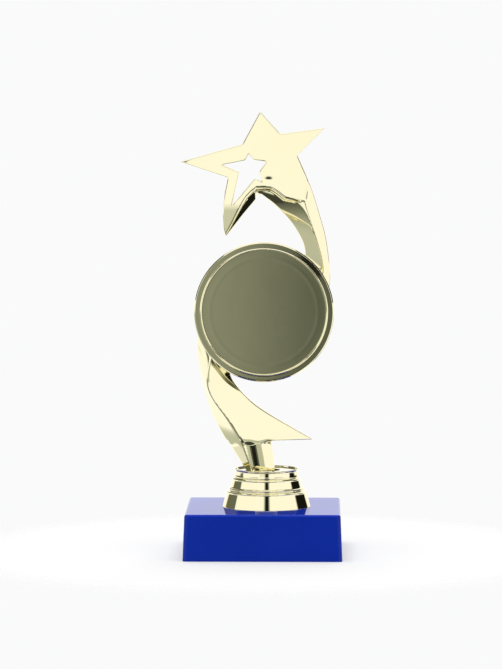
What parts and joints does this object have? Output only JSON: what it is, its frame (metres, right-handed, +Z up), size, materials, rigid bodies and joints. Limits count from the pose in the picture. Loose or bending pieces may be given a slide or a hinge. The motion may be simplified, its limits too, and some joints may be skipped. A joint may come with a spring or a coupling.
{
  "type": "star trophy",
  "caption": "Gold star and ribbon trophy figure with a round emblem holder, on a stepped foot and a square blue plastic base.",
  "frame": {"origin": "centre of the square resting face, at the height of the surface it stands on", "axes": "+Z up, +Y to the back, +X to the viewer's right when the emblem holder faces the viewer"},
  "size_m": [0.067, 0.065, 0.182],
  "materials": {
    "gold_metallised": "vacuum metallised gold, mirror bright",
    "blue_plastic": "moulded, glossy",
    "weight_steel": "as cut",
    "fibreboard": "pressed board",
    "felt": "felt",
    "fastener_steel": "zinc plated",
    "insert_brass": "turned"
  },
  "bodies": {
    "root": {"base_shell": "blue_plastic", "base_weight": "weight_steel", "base_cover": "fibreboard", "felt_pad": "felt", "tie_bolt": "fastener_steel", "plain_washer": "fastener_steel", "spring_washer": "fastener_steel", "threaded_insert": "insert_brass", "foot": "gold_metallised", "figure_front": "gold_metallised", "star_back_cover": "gold_metallised", "ribbon_back_cover": "gold_metallised", "medallion_holder": "gold_metallised", "holder_screws": "fastener_steel"}
  },
  "joints": []
}
